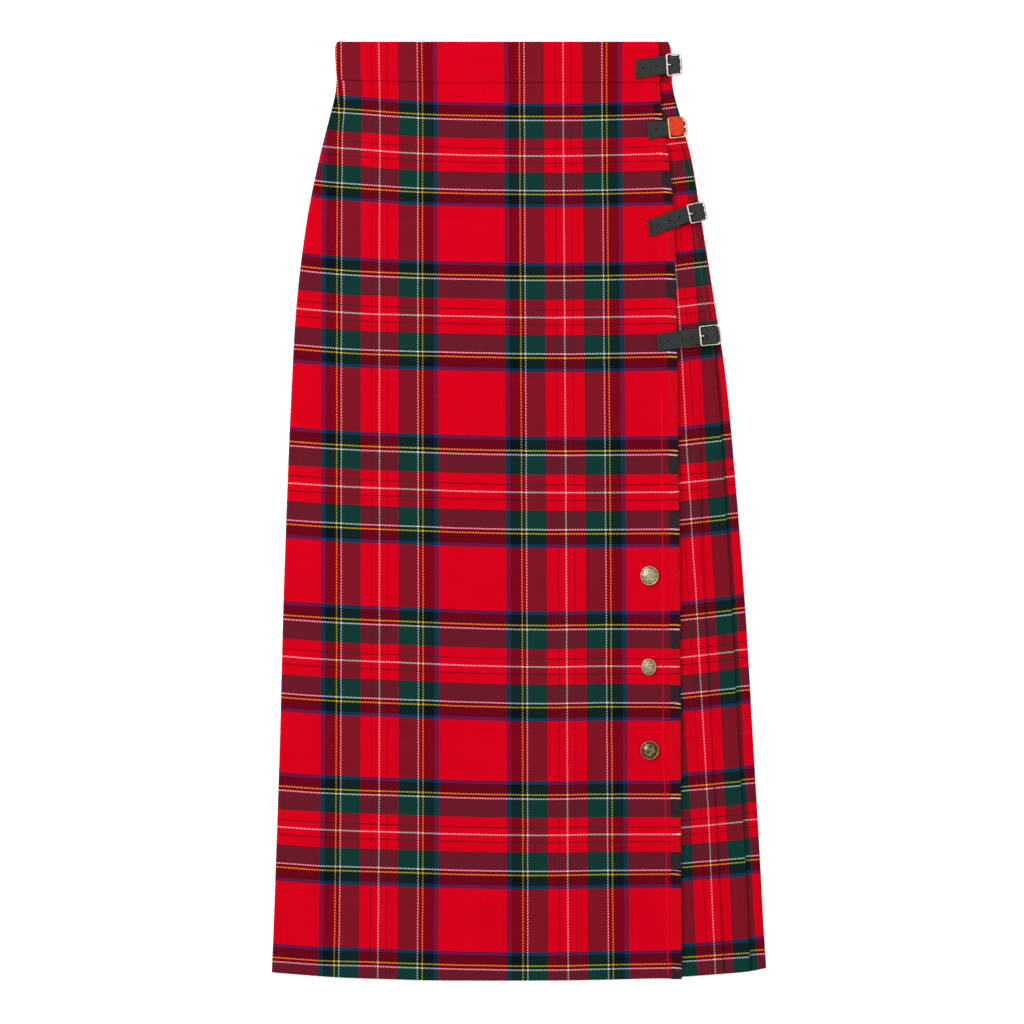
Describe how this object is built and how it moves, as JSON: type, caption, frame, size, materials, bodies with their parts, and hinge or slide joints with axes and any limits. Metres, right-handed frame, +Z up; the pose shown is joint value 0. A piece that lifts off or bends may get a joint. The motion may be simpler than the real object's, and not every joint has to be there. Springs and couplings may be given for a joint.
{
  "type": "tartan wrap skirt",
  "caption": "Long kilted wrap skirt in red tartan wool, laid flat, with a waistband, pleated side and back, fringed apron edge, leather straps with buckles, and dome buttons.",
  "frame": {"origin": "on the surface the skirt lies on, below the middle of its bounding box", "axes": "+Y towards the waistband, +X towards the pleated side with the buckles, +Z up out of the front"},
  "size_m": [0.5092, 0.9664, 0.0142],
  "materials": {
    "tartan": "twill-woven wool, soft and matte",
    "fringe": "loose wool yarn",
    "waistband": "twill-woven wool, soft and matte",
    "leather": "smooth black leather, satin",
    "suede": "orange-red flesh side, napped",
    "buckle_metal": "polished nickel, softly worn",
    "button_metal": "antique silver and brass, worn"
  },
  "bodies": {
    "root": {"over_apron": "tartan", "under_apron": "tartan", "side_pleats": "tartan", "back_pleats": "tartan", "apron_fringe": "fringe", "waistband_over": "waistband", "waistband_under": "waistband", "waistband_back": "waistband", "strap_1": "leather", "strap_2": "leather", "strap_3": "leather", "strap_4": "leather", "strap_2_end": "suede", "buckle_tab_1": "leather", "buckle_tab_2": "leather", "buckle_tab_3": "leather", "buckle_tab_4": "leather", "buckle_frame_1": "buckle_metal", "buckle_frame_2": "buckle_metal", "buckle_frame_3": "buckle_metal", "buckle_frame_4": "buckle_metal", "buckle_prong_1": "buckle_metal", "buckle_prong_3": "buckle_metal", "buckle_prong_4": "buckle_metal", "button_1": "button_metal", "button_2": "button_metal", "button_3": "button_metal"}
  },
  "joints": []
}
